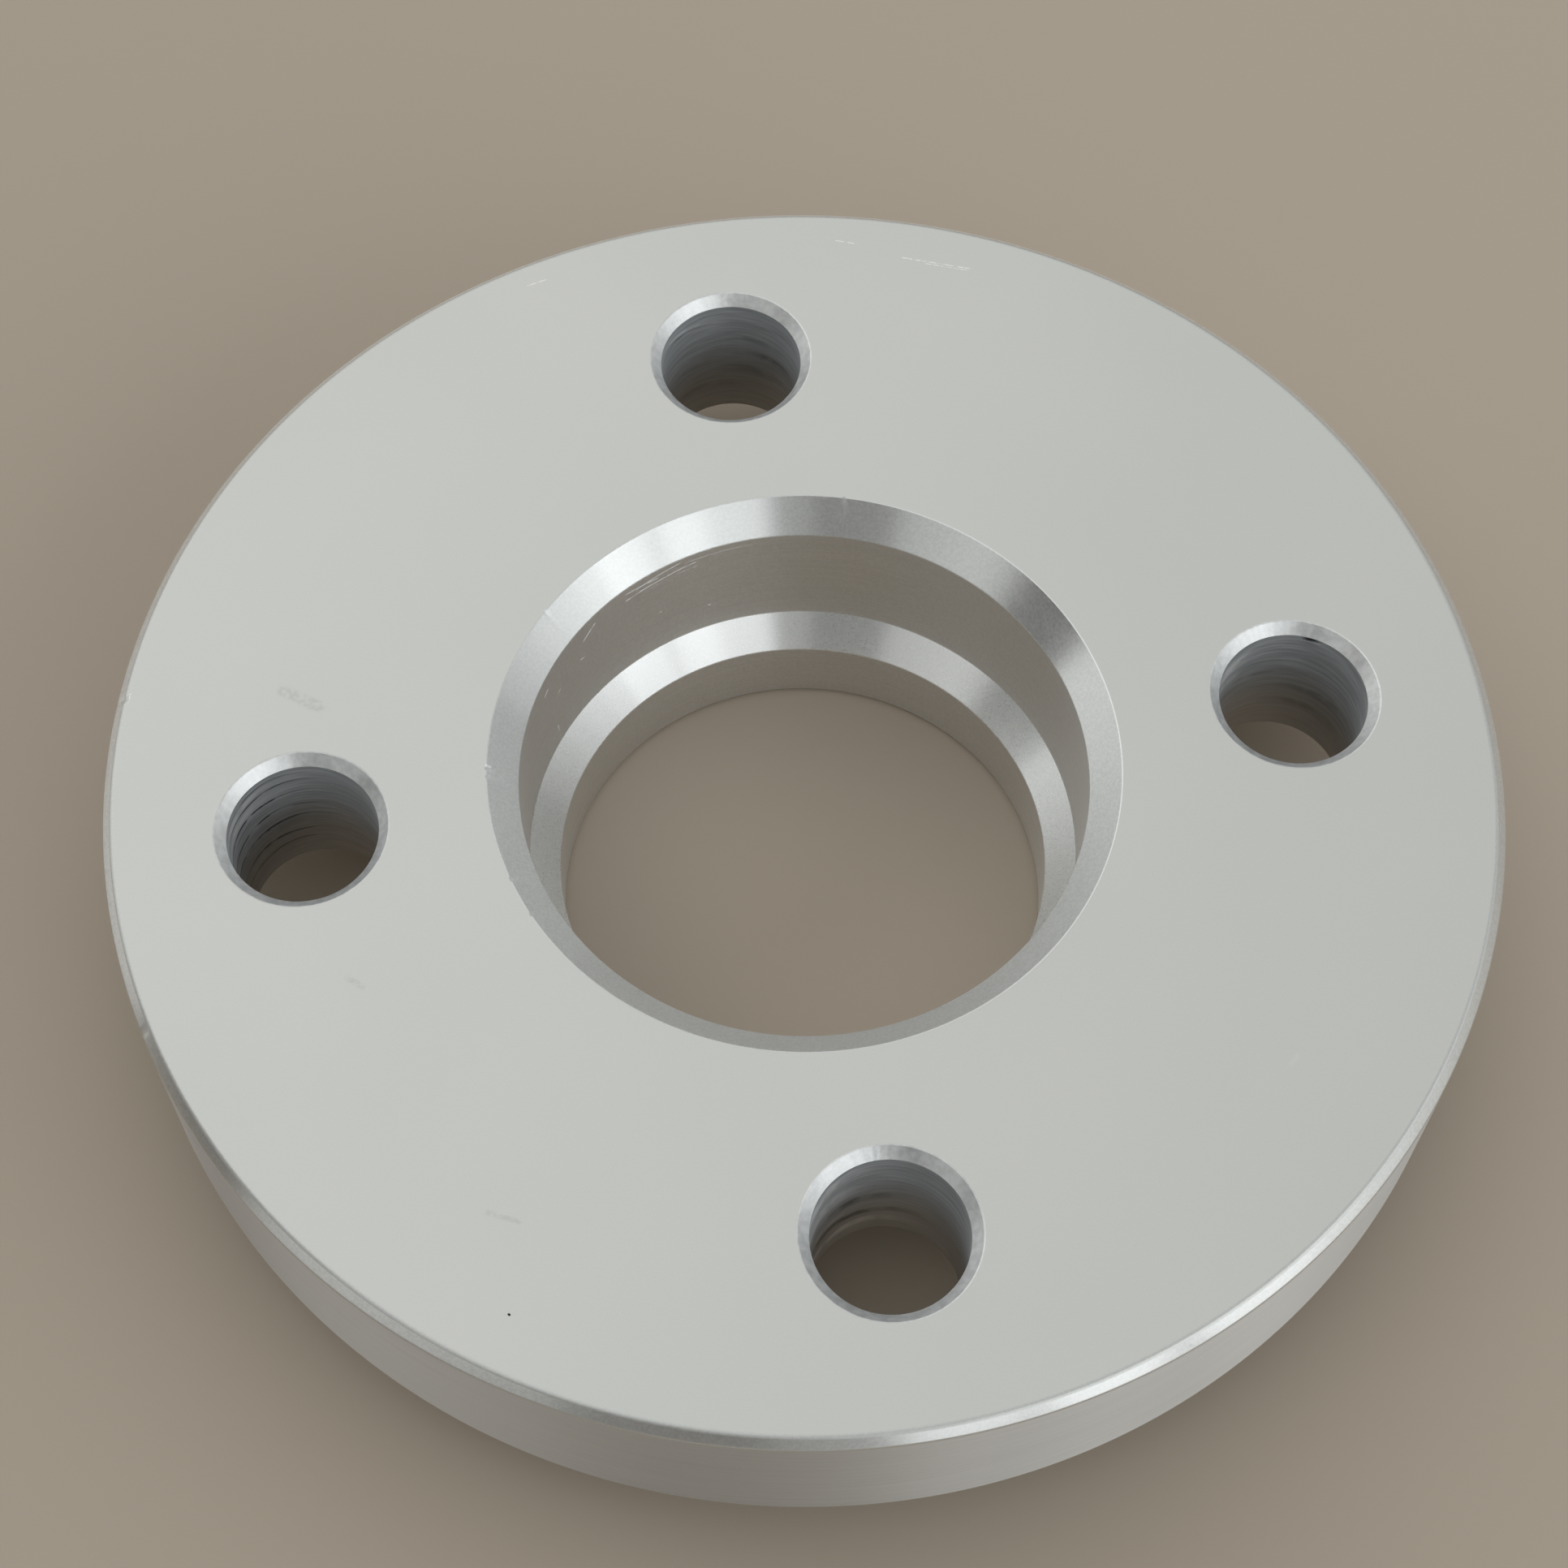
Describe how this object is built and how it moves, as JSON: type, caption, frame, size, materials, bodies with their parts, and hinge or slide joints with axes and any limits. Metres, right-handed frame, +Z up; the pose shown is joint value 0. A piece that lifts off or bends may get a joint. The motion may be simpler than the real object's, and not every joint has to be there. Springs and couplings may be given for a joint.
{
  "type": "wheel spacer",
  "caption": "Flat round wheel spacer with a stepped centre bore for the hub, bolt holes through its flange and a centring lip for the wheel.",
  "frame": {"origin": "centre of the lip's end face, on the surface that the spacer stands on", "axes": "+Z up along the spacer's axis towards the hub face, +X and +Y through bolt holes"},
  "size_m": [0.139, 0.139, 0.03],
  "materials": {
    "aluminium": "fine satin on the faces, bright turned chamfers and bores, rough drilled holes"
  },
  "bodies": {
    "root": {"spacer": "aluminium"}
  },
  "joints": []
}
